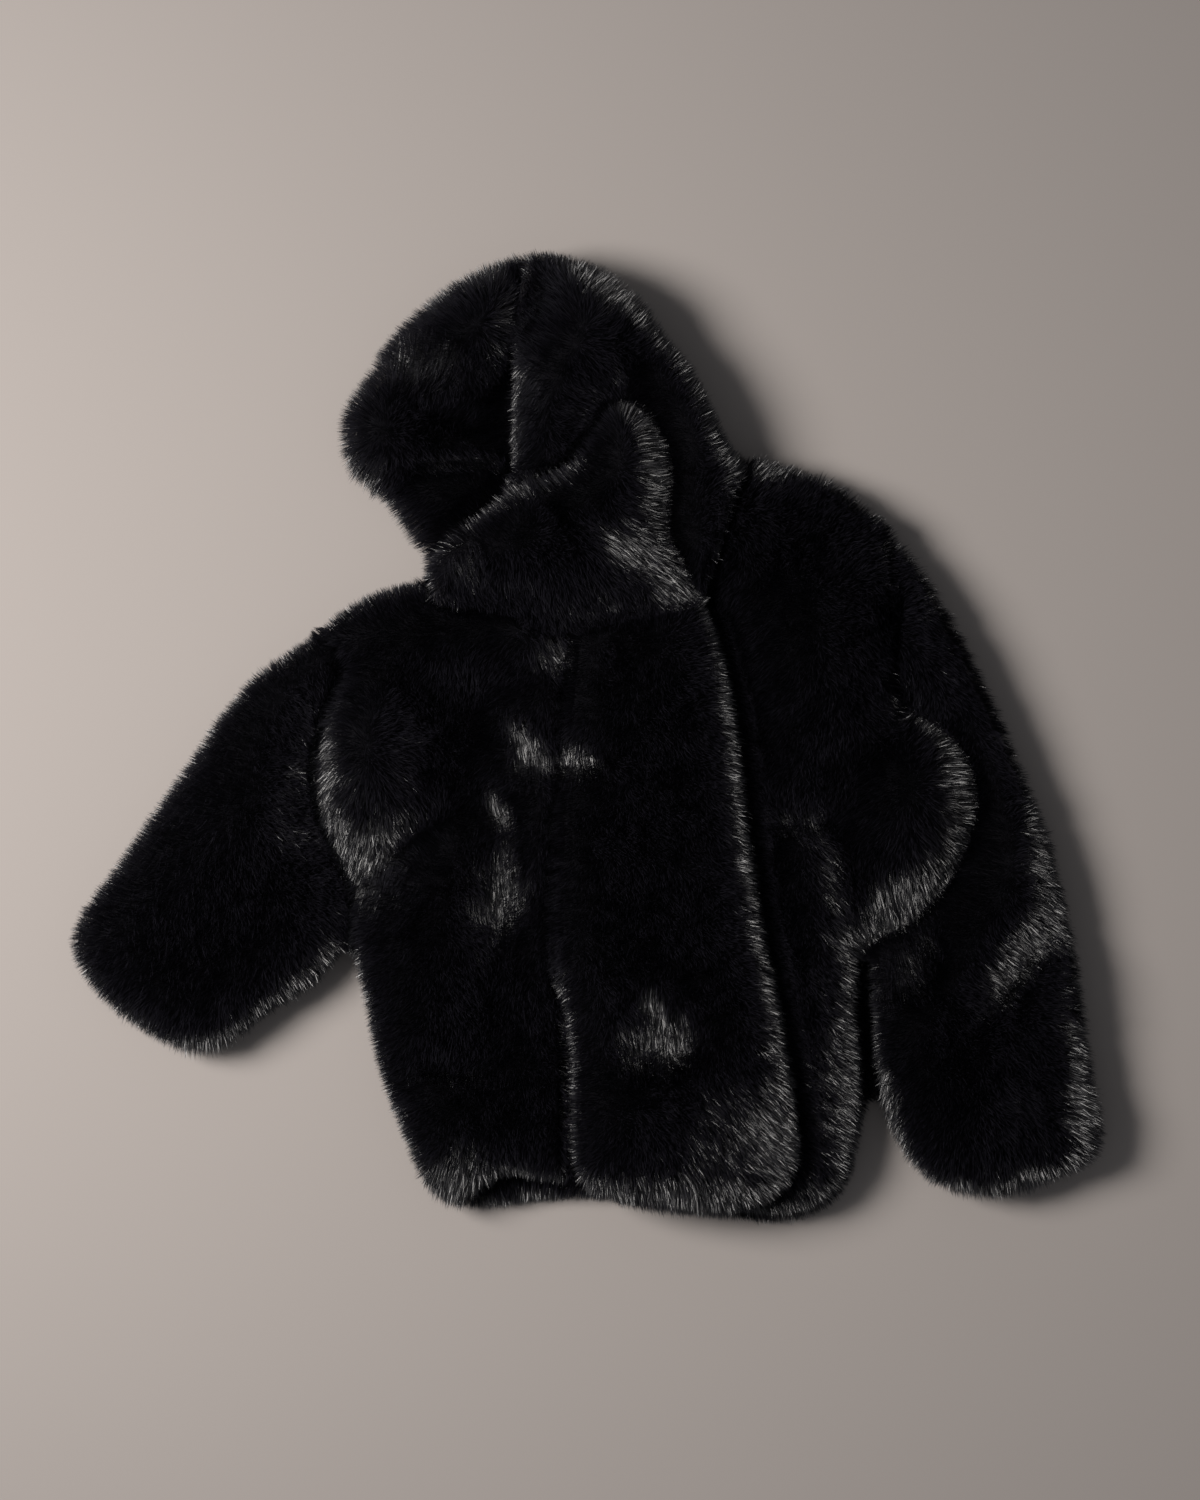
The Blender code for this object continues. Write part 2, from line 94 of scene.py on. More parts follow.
# Where the pile is brushed flat or parted, as seen from above: a soft-edged oval at (x, y), turned by
# turn degrees, in millimetres, the way (east, north, up) that its strands lie, and how many of them do.
# on is how the names of its panels begin.
Brushed = namedtuple("Brushed", "on x y half_length half_width turn east north up strength")
BRUSHED = [
    Brushed("front_band", 68, -298, 66, 46, 0, 0.15, -0.9, 0.15, 1.0),  # dent
    Brushed("front_band", 68, -266, 40, 26, 90, -0.1, -0.9, 0.15, 1.0),
    Brushed("front_band", 136, -385, 105, 74, 55, 0.55, -0.75, 0.4, 0.6),  # fan at the lower corner
    Brushed("front_band", 176, -385, 125, 42, 80, 0.75, -0.55, 0.46, 0.85),
    Brushed("front_band", 166, -150, 260, 26, -81, 0.8, -0.35, 0.45, 0.75),  # right edge
    Brushed("front_band", 60, -450, 140, 32, -4, 0.2, -0.95, 0.1, 0.8),  # hem
    Brushed("front_band", -20, -335, 130, 15, 88, -0.6, -0.75, 0.0, 0.9),  # left edge
    Brushed("front_band", -16, -16, 52, 28, 14, 0.1, -0.95, 0.15, 1.0),  # crescent under the chest
    Brushed("right_front", -62, 8, 46, 24, -52, 0.3, -0.9, 0.2, 1.0),
    Brushed("right_front", -40, -18, 56, 27, 2, 0.0, -0.95, 0.15, 1.0),
    Brushed("right_front", -262, -4, 132, 42, 92, -0.7, -0.65, -0.2, 1.0),  # roll over the armhole
    Brushed("right_front", -240, -165, 66, 18, -82, -0.3, -0.92, 0.03, 0.9),
    Brushed("right_front", -222, -112, 96, 68, -50, -0.3, -0.92, 0.03, 1.0),
    Brushed("right_front", -239, 52, 34, 18, 45, -0.7, -0.4, 0.0, 0.7),
    Brushed("right_front", -87, -63, 38, 22, -55, 0.3, -0.9, 0.2, 1.0),
    Brushed("right_front", -88, -145, 88, 50, 78, 0.1, -0.95, 0.15, 1.0),
    Brushed("right_front", -122, -432, 56, 50, 70, -0.2, -0.95, 0.12, 1.0),  # hem
    Brushed("right_front", -57, -442, 60, 14, -8, 0.0, -1.0, 0.0, 0.9),
    Brushed("right_front", -130, -328, 76, 9, -3, 0.1, -0.95, 0.2, 0.6),
    Brushed("right_front", -140, 143, 44, 16, -15, 0.5, -0.8, 0.35, 0.6),  # under the collar
    Brushed("right_front", -30, 94, 50, 36, 0, 0.5, -0.8, 0.35, 1.0),
    Brushed("collar", -32, 256, 66, 22, 30, -0.6, 0.6, -0.5, 1.0),  # upper left edge
    Brushed("collar", 64, 272, 66, 26, 100, 0.8, 0.25, 0.4, 1.0),  # right edge
    Brushed("collar", 40, 326, 40, 15, -40, 0.5, 0.7, 0.15, 1.0),
    Brushed("collar", 32, 196, 70, 34, -28, 0.8, -0.5, 0.48, 1.0),  # combed across the throat
    Brushed("collar", 82, 150, 56, 26, -38, 0.75, -0.55, 0.46, 1.0),
    Brushed("collar", -119, 184, 34, 30, 90, 0.4, -0.8, 0.3, 0.8),
    Brushed("collar", -98, 142, 110, 24, -10, 0.2, -0.5, 0.85, 0.9),  # lower edge
    Brushed("hood_left", -64, 445, 60, 26, 95, 0.1, -0.5, 0.8, 1.0),  # along the crown's seam
    Brushed("hood_left", 140, 205, 125, 36, 72, -0.2, -0.7, 0.6, 1.0),  # and the nape's
    Brushed("hood_left", -68, 335, 86, 40, 88, -0.45, -0.85, -0.05, 1.0),  # rim
    Brushed("hood_right", -162, 364, 76, 32, 12, 0.35, 0.8, 0.2, 0.75),  # brim
    Brushed("hood_right", -217, 272, 46, 36, 0, -0.35, -0.85, 0.05, 0.8),
    Brushed("hood_right", -137, 284, 80, 15, 0, 0.7, -0.5, 0.42, 0.9),  # parting
    Brushed("hood_left", 28, 437, 70, 26, -42, 0.7, 0.5, 0.28, 1.0),  # crown
    Brushed("hood_left", 113, 342, 76, 14, -54, 0.85, 0.1, 0.42, 0.9),
    Brushed("hood_left", 24, 372, 46, 10, -72, 0.5, -0.6, 0.35, 0.7),
    Brushed("left_front", 166, 268, 50, 30, -15, 0.5, 0.6, 0.2, 1.0),  # nape
    Brushed("left_front", 240, -155, 125, 28, -78, 0.8, -0.45, 0.48, 0.7),  # side
    Brushed("left_front", 250, -325, 165, 44, -90, 0.8, -0.45, 0.48, 0.75),
    Brushed("left_front", 302, 105, 130, 38, 92, 0.0, -0.3, 0.95, 1.0),  # along the armhole's seam
    Brushed("left_front", 268, 244, 80, 48, -38, 0.2, 0.1, 0.95, 1.0),  # shoulder
    Brushed("left_front", 208, -76, 54, 20, -10, 0.3, -0.9, 0.3, 0.8),  # crease under the chest
    Brushed("left_front", 366, -36, 96, 26, -76, 0.85, 0.0, 0.43, 0.8),  # roll over the armhole
    Brushed("left_front", 338, 12, 44, 18, -38, 0.5, 0.6, 0.15, 0.8),
    Brushed("left_front", 308, -158, 84, 46, 25, 0.15, -0.95, 0.2, 1.0),
    Brushed("left_sleeve", 390, 62, 270, 52, -62, 0.3, -0.2, 0.92, 1.0),  # outer edge
    Brushed("left_sleeve", 496, -240, 120, 40, -82, 0.3, -0.2, 0.92, 1.0),
    Brushed("left_sleeve_top", 457, -130, 90, 30, -78, 0.7, -0.5, 0.44, 0.85),  # elbow
    Brushed("left_sleeve_top", 426, -220, 90, 32, 57, 0.7, -0.5, 0.44, 0.95),
    Brushed("left_sleeve_top", 326, -215, 64, 36, 60, 0.3, -0.8, 0.3, 0.7),
    Brushed("left_sleeve_top", 311, -365, 90, 17, -72, -0.35, -0.93, 0.0, 0.9),
    Brushed("left_sleeve_top", 488, -362, 90, 38, -88, 0.75, -0.35, 0.44, 0.9),  # cuff
    Brushed("left_sleeve_top", 420, -444, 120, 18, 4, 0.2, -0.95, 0.2, 0.8),
    Brushed("right_sleeve_top", -390, -110, 330, 200, 55, 0.3, -0.85, 0.2, 0.15),
    Brushed("right_sleeve_top", -385, -300, 110, 17, 14, 0.25, -0.9, 0.25, 0.8),
    Brushed("right_sleeve_top", -280, -240, 76, 16, 38, 0.5, -0.8, 0.35, 0.8),
]

PLAIN = ("back", "right_sleeve_under", "left_sleeve_under")  # panels that hardly show
SLOT_FILLED = ("hood_right",)  # pile also closes the slot between this panel and the one that lies on it,
RIM_SLOPE = 0.3  # where the blurred form is at least this steep
RELIEF = []  # filled by the first call of blurred

UP = np.array([0.0, 0.0, 1.0])
UPWARDS = Vector((0, 0, 1))
DOWNWARDS = Vector((0, 0, -1))

# Lengths, in metres.
MM = 0.001
JOIN = 1e-5  # points of a panel that are this near are one point
RELIEF_CELL = 0.005  # a cell of the grid on which the jacket's form is blurred
RELIEF_MARGIN = 0.08  # how far that grid runs on round the jacket
SPLAY_WIDTH = 0.014  # over how far from an edge the pile falls outwards
SEWN = 0.008  # a panel's backing runs up to the next panel where that is so near
SEWN_IN = 0.0002  # it is drawn in by only this much there
SEAM_REACH = 0.012  # and its pile stands level with that panel's, less and less up to this far
HOLLOW = 0.012  # over this much depth the pile of a hollow comes to stand up
COVER_REACH = 0.08  # a panel hides the pile that is up to this far under it
SIDE_REACH = 0.004  # and beside it, pile that is up to its own depth and this far away
CROWN_CLEARANCE = 0.009  # how far above the frame the highest strands end
FLOOR_GAP = 0.0006  # how far above the floor the lowest strands lie
FLOOR_SPREAD = 0.001  # and over what height they are spread
RAY = 0.3  # how far a ray looks for a form, and how high it starts over the whole jacket
RAY_UNDER = -0.1  # how high it starts under a panel
RAY_OVER = 0.2  # and over one

# Shares, and the parts of ways that are one long.
TINY = 1e-12  # keeps a way without length from being divided by nothing
BLUR_REACH = 3  # how many times its own width the blur reaches
SIDEWAYS = 0.3  # a backing can meet the next panel where its normal leans out by more than this
UNDERSIDE = -0.75  # faces whose normals point lower than this are bare
TOP_SIDE = 0.5  # pile whose backing faces higher than this is hidden only from above
DRAW_MOST = 0.45  # the pile takes up at most this share of a panel's thickness
LIFT_MOST = 0.2  # and the backing's underside is lifted by at most this share of it
BRUSHED_MOST = 0.96  # the share of the strands that are turned where the pile is fully brushed
BORDER = 1.25  # how steeply a brushed place sets in at its border
TURNED = 0.4  # a turned strand is turned at least this much
FOLLOWING = 0.3  # and the others follow by this share
HOLLOW_FROM = 0.3  # it starts to at a depth of this share of HOLLOW
STRAY = 0.10  # how far single strands stray from their neighbours
LOWEST = 0.12  # how much the lowest strands stand off their backing
DROOP = 0.28  # how much the pile hangs where its backing is upright
LENGTHS = (0.78, 1.18)  # of the shortest and the longest strand, against the average
WIDTHS = (0.7, 1.2)  # of the narrowest and the widest
SHORTEST = 0.45  # the share of its length that pile keeps on the thinnest backing
COMBED_LONGER = 0.25  # how much longer brushed pile is
BEND_AT = 0.52  # how far up a strand its bend is
DARKEST = 0.45  # how far the darkest strand goes from the deep colour to that of the tips

# Smooth noise over the plan: how strong it is, and how far its bumps are apart in metres.
Noise = namedtuple("Noise", "strength size seed")
NOISE_CELLS = 128  # it repeats after so many bumps
SMALL_TUFTS = Noise(0.6, 0.011, 5)
WIDE_TUFTS = Noise(0.4, 0.034, 6)
RAGGED = Noise(0.22, 0.016, 7)  # in the border of a brushed place
CLUMPS = Noise(0.16, 0.007, 8)  # in the way that its strands lie

# A strand's four points are its root, the two sides of its bend, and its tip.
STRAND_FACES = np.array([0, 2, 1, 1, 2, 3])
ROOT_SHADE_ALONG = np.array([0.0, 0.5, 0.5, 1.0])  # how far up the strand each point is, which paints shade darker towards the roots
CELL_SPOTS = np.array([[0.5, 0.1], [0.2, 0.5], [0.8, 0.5], [0.5, 0.9]])  # and where in its cell of the map

# The studio, in metres. The jacket lies round the origin.
FLOOR_SIZE = 30.0
AIR_COLOUR = (0.93, 0.95, 1.0, 1)
KEY_PLACE = (-2.3, 0.4, 2.0)
KEY_AIM = (0.0, -0.12, 0.0)
KEY_SIZE = 1.5
KEY_SPREAD = 110  # degrees
KEY_COLOUR = (1.0, 0.965, 0.93)
CAMERA_OVER = (0.0135, -0.0105)  # the middle of the picture
CAMERA_LEVEL = 0.03  # the camera's height counts from here, a third of the way up the jacket
SENSOR_WIDTH = 36.0  # millimetres
FARTHEST = 50.0  # how far the camera sees


class JacketPile(bpy.types.PropertyGroup):
    """Sizes of the pile and its backing."""

    depth: bpy.props.FloatProperty(
        name="Pile depth", description="How far the backing lies below the top of the pile",
        default=0.015, unit="LENGTH")
    strand: bpy.props.FloatProperty(
        name="Strand length", description="Length of an average strand",
        default=0.0205, unit="LENGTH")
    width: bpy.props.FloatProperty(
        name="Strand width", description="Width of a strand at its middle",
        default=0.0008, unit="LENGTH")
    density: bpy.props.IntProperty(
        name="Strands", description="Strands to a square metre of backing that shows",
        default=560000)
    lean: bpy.props.FloatProperty(
        name="Lean", description="How much the strands lean the way they are brushed",
        default=0.14)
    splay: bpy.props.FloatProperty(
        name="Splay", description="How much the pile falls outwards near edges",
        default=2.2)
    tuft: bpy.props.FloatProperty(
        name="Tufts", description="How much neighbouring strands lean together",
        default=0.20)


class JacketColours(bpy.types.PropertyGroup):
    """Colours of the pile and its backing."""

    # The deep colour is painted shade: the strands are made darker near their roots, down in the pile where
    # shade falls, and lighter at their tips.
    deep: bpy.props.FloatVectorProperty(
        name="Deep pile", description="Colour of the strands near their roots",
        subtype="COLOR", size=3, default=(0.0090, 0.0084, 0.0120))
    tips: bpy.props.FloatVectorProperty(
        name="Pile tips", description="Colour of the strands at their tips",
        subtype="COLOR", size=3, default=(0.0140, 0.0131, 0.0184))
    backing: bpy.props.FloatVectorProperty(
        name="Backing", description="Colour of the knitted backing",
        subtype="COLOR", size=3, default=(0.0070, 0.0066, 0.0092))


class JacketStudio(bpy.types.PropertyGroup):
    """The floor, the lamp, the light from all round and the camera."""

    floor: bpy.props.FloatVectorProperty(
        name="Floor", description="Colour of the floor",
        subtype="COLOR", size=3, default=(0.50, 0.455, 0.43))
    key: bpy.props.FloatProperty(
        name="Key lamp", description="Power of the large lamp beside the jacket",
        default=40.0, unit="POWER")
    fill: bpy.props.FloatProperty(
        name="Fill", description="Strength of the light from all round", default=0.11)
    distance: bpy.props.FloatProperty(
        name="Camera height", description="Height of the camera above the jacket",
        default=5.0, unit="LENGTH")
    lens: bpy.props.FloatProperty(
        name="Lens", description="Focal length of the camera in millimetres",
        default=120.0)


def unit(vectors):
    """The vectors at length one."""
    return vectors / np.maximum(np.linalg.norm(vectors, axis=1), TINY)[:, None]


def ease(share):
    """A smooth step from 0 to 1."""
    share = np.clip(share, 0, 1)
    return share * share * (3 - 2 * share)


def drift(places, noise):
    """The noise at the places, which runs from minus to plus its strength: a column for each axis."""
    cells = np.random.default_rng(noise.seed).uniform(-1, 1, (NOISE_CELLS, NOISE_CELLS, 3))
    at = places[:, :2] / noise.size
    low = np.floor(at).astype(int)
    part = ease(at - low)
    x0, y0 = (low % NOISE_CELLS).T
    x1, y1 = ((low + 1) % NOISE_CELLS).T
    px, py = part[:, :1], part[:, 1:]
    south = cells[x0, y0] * (1 - px) + cells[x1, y0] * px
    north = cells[x0, y1] * (1 - px) + cells[x1, y1] * px
    return noise.strength * (south * (1 - py) + north * py)


def select_only(piece):
    """Makes the piece the only one selected, and active."""
    bpy.ops.object.select_all(action="DESELECT")
    piece.select_set(True)
    bpy.context.view_layer.objects.active = piece


def placed(name, content):
    """A new object of the scene, with the mesh, lamp or camera in it."""
    piece = bpy.data.objects.new(name, content)
    bpy.context.scene.collection.objects.link(piece)
    return piece


def arrays(mesh):
    """A mesh's points, the points' normals, and its triangles, as arrays."""
    mesh.calc_loop_triangles()
    points = np.empty(len(mesh.vertices) * 3)
    mesh.vertices.foreach_get("co", points)
    normals = np.empty(len(mesh.vertices) * 3)
    mesh.vertex_normals.foreach_get("vector", normals)
    corners = np.empty(len(mesh.loop_triangles) * 3, dtype=np.int32)
    mesh.loop_triangles.foreach_get("vertices", corners)
    return points.reshape(-1, 3), normals.reshape(-1, 3), corners.reshape(-1, 3)


def ray_tree(nodes):
    """One tree for rays with the faces of all the nodes."""
    points = []
    faces = []
    for node in nodes:
        start = len(points)
        points += [vertex.co.copy() for vertex in node.data.vertices]
        faces += [[start + k for k in face.vertices] for face in node.data.polygons]
    return BVHTree.FromPolygons(points, faces)


def others(name):
    """What can hide the panel's pile: every other panel of the frame, as one tree for rays."""
    return ray_tree([node for other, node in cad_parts.items() if other != name])


def heights(low, size):
    """The jacket's height over each cell of a grid on the plan, whose corner is low, and 0 beside it."""
    tree = ray_tree(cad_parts.values())
    height = np.zeros(size)
    for i in range(size[0]):
        for j in range(size[1]):
            above = Vector((low[0] + (i + 0.5) * RELIEF_CELL, low[1] + (j + 0.5) * RELIEF_CELL, RAY))
            hit = tree.ray_cast(above, DOWNWARDS, RAY)[0]
            height[i, j] = 0 if hit is None else hit.z
    return height


def relief():
    """The jacket's form, blurred: the plan's corner, and by cell the slope along X and Y and the height."""
    low = np.array(FRAME_BOX[0])[:2] - RELIEF_MARGIN
    high = np.array(FRAME_BOX[1])[:2] + RELIEF_MARGIN
    height = heights(low, ((high - low) / RELIEF_CELL).astype(int))
    spread = SPLAY_WIDTH / RELIEF_CELL
    reach = int(BLUR_REACH * spread)
    weights = np.exp(-0.5 * (np.arange(-reach, reach + 1) / spread) ** 2)
    weights /= weights.sum()
    for axis in (0, 1):
        height = np.apply_along_axis(np.convolve, axis, height, weights, "same")
    return low, np.stack([*np.gradient(height, RELIEF_CELL), height], axis=2)


def blurred(places):
    """The blurred form of the jacket at each place: its slope along X and Y, and its height."""
    if not RELIEF:
        RELIEF.extend(relief())
    low, cells = RELIEF
    at = (places[:, :2] - low) / RELIEF_CELL - 0.5
    cell = np.clip(np.floor(at).astype(int), 0, np.array(cells.shape[:2]) - 2)
    part = (at - cell)[:, :, None]
    x, y = cell.T
    west = cells[x, y] * (1 - part[:, 1]) + cells[x, y + 1] * part[:, 1]
    east = cells[x + 1, y] * (1 - part[:, 1]) + cells[x + 1, y + 1] * part[:, 1]
    return west * (1 - part[:, 0]) + east * part[:, 0]


def rounded_panel(name):
    """A new piece with the form of the frame's panel: its loose triangles joined up, and rounded."""
    mesh = bpy.data.meshes.new("cloth_" + name)
    form = bmesh.new()
    form.from_mesh(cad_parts[name].data)
    bmesh.ops.remove_doubles(form, verts=form.verts, dist=JOIN)
    form.to_mesh(mesh)
    form.free()
    piece = placed("cloth_" + name, mesh)
    select_only(piece)
    rounder = piece.modifiers.new("Rounder", "SUBSURF")
    rounder.levels = 1 if name in PLAIN else 2
    rounder.render_levels = rounder.levels
    bpy.ops.object.modifier_apply(modifier=rounder.name)
    return piece


def backing_cloth(name, panel, depth):
    """The panel's backing, drawn in by the depth of the pile, and by point how far and the pile's way."""
    piece = rounded_panel(name)
    points, normals, corners = arrays(piece.data)
    own = BVHTree.FromPolygons([Vector(p) for p in points], corners.tolist())
    near = others(name)
    moved = points.copy()
    draw = np.zeros(len(points))
    stand = normals.copy()
    for k, (point, normal) in enumerate(zip(points, normals)):
        flat = Vector((normal[0], normal[1], 0))
        apart = SEAM_REACH
        if flat.length > SIDEWAYS:
            apart = near.ray_cast(Vector(point), flat.normalized(), SEAM_REACH)[3] or SEAM_REACH
        stand[k] = normal + (UP - normal) * (1 - ease(apart / SEAM_REACH))
        place = Vector(point) - flat * (SEWN_IN if apart < SEWN else depth)
        foot = own.ray_cast(Vector((place.x, place.y, RAY_UNDER)), UPWARDS, RAY)[0]
        top = own.ray_cast(Vector((place.x, place.y, RAY_OVER)), DOWNWARDS, RAY)[0]
        if foot is None or top is None:
            moved[k] = place
            continue
        thick = top.z - foot.z
        draw[k] = min(depth, DRAW_MOST * thick)
        lift = min(panel.lift * MM, LIFT_MOST * thick)
        share = 0.5 + 0.5 * normal[2]
        moved[k] = (place.x, place.y, (foot.z + lift) * (1 - share) + (top.z - draw[k]) * share)
    piece.data.vertices.foreach_set("co", moved.ravel())
    piece.data.update()
    select_only(piece)
    bpy.ops.object.shade_smooth()
    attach(piece, "root")
    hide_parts(name)
    return piece, draw, stand


def scattered(area, density, rng):
    """Spots spread evenly over faces of these areas: by spot its face, and how near it is to each corner."""
    count = int(area.sum() * density)
    at = (np.arange(count) + rng.random(count)) / count * area.sum()
    face = np.minimum(np.searchsorted(np.cumsum(area), at), len(area) - 1)
    share = rng.random((count, 2))
    share = np.where(share.sum(axis=1, keepdims=True) > 1, 1 - share, share)
    return face, np.column_stack([1 - share.sum(axis=1), share])[:, :, None]


def rooted(name, cloth, draw, stand, density, rng):
    """Where strands stand on the backing: their places, the ways they stand there, and its depth."""
    points, normals, corners = arrays(cloth.data)
    a, b, c = (points[corners[:, k]] for k in range(3))
    area = np.linalg.norm(np.cross(b - a, c - a), axis=1) / 2
    area *= normals[corners].mean(axis=1)[:, 2] > UNDERSIDE
    face, share = scattered(area, density, rng)
    place = (points[corners[face]] * share).sum(axis=1)
    normal = unit((normals[corners[face]] * share).sum(axis=1))
    way = unit((stand[corners[face]] * share).sum(axis=1))
    depth = (draw[corners[face]] * share[:, :, 0]).sum(axis=1)
    tree = others(name)
    steep = np.hypot(*blurred(place)[:, :2].T) > RIM_SLOPE
    open_air = np.ones(len(place), dtype=bool)
    for k in range(len(place)):
        top = normal[k][2] > TOP_SIDE
        reach = COVER_REACH if top else depth[k] + SIDE_REACH
        open_air[k] = tree.ray_cast(Vector(place[k]), Vector(UP if top else normal[k]), reach)[0] is None
        open_air[k] |= top and steep[k] and name in SLOT_FILLED
    return place[open_air], way[open_air], depth[open_air]


def brushed(name, places, lie, rng):
    """Turns the ways of a panel's strands where its pile is brushed flat, and says how much by strand."""
    ragged = drift(places, RAGGED)[:, 0]
    clumps = drift(places, CLUMPS)
    most = np.zeros(len(places))
    for spot in BRUSHED:
        if not name.startswith(spot.on):
            continue
        turn = math.radians(spot.turn)
        x = places[:, 0] / MM - spot.x
        y = places[:, 1] / MM - spot.y
        along = (x * math.cos(turn) + y * math.sin(turn)) / spot.half_length
        across = (y * math.cos(turn) - x * math.sin(turn)) / spot.half_width
        share = spot.strength * ease(BORDER * (1 - np.hypot(along, across) + ragged))
        turned = rng.random(len(places)) < BRUSHED_MOST * share
        share = np.where(turned, TURNED + (1 - TURNED) * share, FOLLOWING * share)
        way = np.array([spot.east, spot.north, spot.up])
        way = way / np.linalg.norm(way) + clumps
        lie = lie * (1 - share[:, None]) + way * share[:, None]
        most = np.maximum(most, share)
    return lie, most


def strand_ways(name, panel, root, normal, depth, pile, rng):
    """How the panel's strands lie, up to their bend and past it, and how much each one is brushed."""
    count = len(root)
    nap = np.array([*panel.nap, 0.0])
    nap = nap / np.linalg.norm(nap)
    nap = nap - normal * (normal @ nap)[:, None]
    tufts = drift(root, SMALL_TUFTS) + drift(root, WIDE_TUFTS)
    form = blurred(root)
    hollow = form[:, 2] - root[:, 2] - depth
    fall = -pile.splay * form[:, :2] * np.clip(1 + HOLLOW_FROM - hollow / HOLLOW, 0, 1)[:, None]
    fall = np.column_stack([fall, np.zeros(count)])
    lie = normal + fall + pile.lean * nap + pile.tuft * tufts + STRAY * rng.normal(size=(count, 3))
    lie, combed = brushed(name, root, unit(lie), rng)
    lie = unit(lie)
    low = np.maximum(LOWEST - (lie * normal).sum(axis=1), 0)[:, None]
    lie = unit(lie + normal * low)
    bend = pile.lean * nap + pile.tuft * tufts + STRAY * rng.normal(size=(count, 3))
    bend[:, 2] -= DROOP * (1 - np.abs(normal[:, 2]))
    return lie, unit(lie + bend), combed


def strand_points(root, lie, tip_way, depth, combed, pile, rng):
    """The four points of each strand: its root, the two sides of its bend, and its tip."""
    count = len(root)
    thin = np.minimum(1, SHORTEST + (1 - SHORTEST) * depth / pile.depth)
    long = pile.strand * rng.uniform(*LENGTHS, count) * thin
    long *= 1 + COMBED_LONGER * combed
    wide = pile.width * rng.uniform(*WIDTHS, count)
    roll = rng.uniform(0, math.tau, count)
    side = unit(np.cross(lie, rng.normal(size=(count, 3))))
    side = side * np.cos(roll)[:, None] + np.cross(lie, side) * np.sin(roll)[:, None]
    middle = root + lie * (long * BEND_AT)[:, None]
    tip = middle + tip_way * (long * (1 - BEND_AT))[:, None]
    floor = FLOOR_GAP + FLOOR_SPREAD * rng.random(count)
    middle[:, 2] = np.maximum(middle[:, 2], floor)
    tip[:, 2] = np.maximum(tip[:, 2], floor)
    tip[:, 2] = np.minimum(tip[:, 2], FRAME_BOX[1][2] + CROWN_CLEARANCE)
    half = side * (wide / 2)[:, None]
    return np.stack([root, middle - half, middle + half, tip], axis=1)


def map_strands(mesh, count):
    """Gives every strand its own small cell of the piece's map."""
    side = math.ceil(math.sqrt(count))
    cell = np.arange(count)
    corner = np.column_stack([cell % side, cell // side]) / side
    spots = corner[:, None] + CELL_SPOTS[STRAND_FACES] / side
    layer = mesh.uv_layers.new(name="OFBake")
    layer.data.foreach_set("uv", spots.ravel().astype(np.float32))


def strand_mesh(name, points, rng):
    """One mesh of all the strands, two triangles each, with how pale every point is: painted shade makes
    each strand darker towards its root, and each strand has its own random tone.
    """
    count = len(points)
    faces = np.arange(count)[:, None] * 4 + STRAND_FACES
    mesh = bpy.data.meshes.new(name)
    mesh.vertices.add(count * 4)
    mesh.vertices.foreach_set("co", points.ravel())
    mesh.loops.add(count * 6)
    mesh.loops.foreach_set("vertex_index", faces.ravel().astype(np.int32))
    mesh.polygons.add(count * 2)
    mesh.polygons.foreach_set("loop_start", np.arange(0, count * 6, 3, dtype=np.int32))
    map_strands(mesh, count)
    shade = mesh.attributes.new("strand", "FLOAT", "POINT")
    tint = DARKEST + (1 - DARKEST) * rng.random(count)[:, None]
    shade.data.foreach_set("value", (ROOT_SHADE_ALONG * tint).ravel().astype(np.float32))
    mesh.update()
    mesh.validate()
    return mesh


def coat(name, panel, cloth, draw, stand, pile):
    """The panel's pile: one mesh of bent, tapered strands that stand on the backing."""
    rng = np.random.default_rng(panel.seed)
    density = pile.density * 1.0
    root, normal, depth = rooted(name, cloth, draw, stand, density, rng)
    lie, tip_way, combed = strand_ways(name, panel, root, normal, depth, pile, rng)
    points = strand_points(root, lie, tip_way, depth, combed, pile, rng)
    piece = placed("fur_" + name, strand_mesh("fur_" + name, points, rng))
    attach(piece, "root")
    return piece


def new_material(name):
    """A new material, its node tree and its shader."""
    material = bpy.data.materials.new(name)
    material.use_nodes = True
    return material, material.node_tree, material.node_tree.nodes["Principled BSDF"]


def ramp_between(tree, low, high):
    """A ramp from one colour to another."""
    ramp = tree.nodes.new("ShaderNodeValToRGB")
    ramp.color_ramp.elements[0].color = (*low, 1)
    ramp.color_ramp.elements[1].color = (*high, 1)
    return ramp


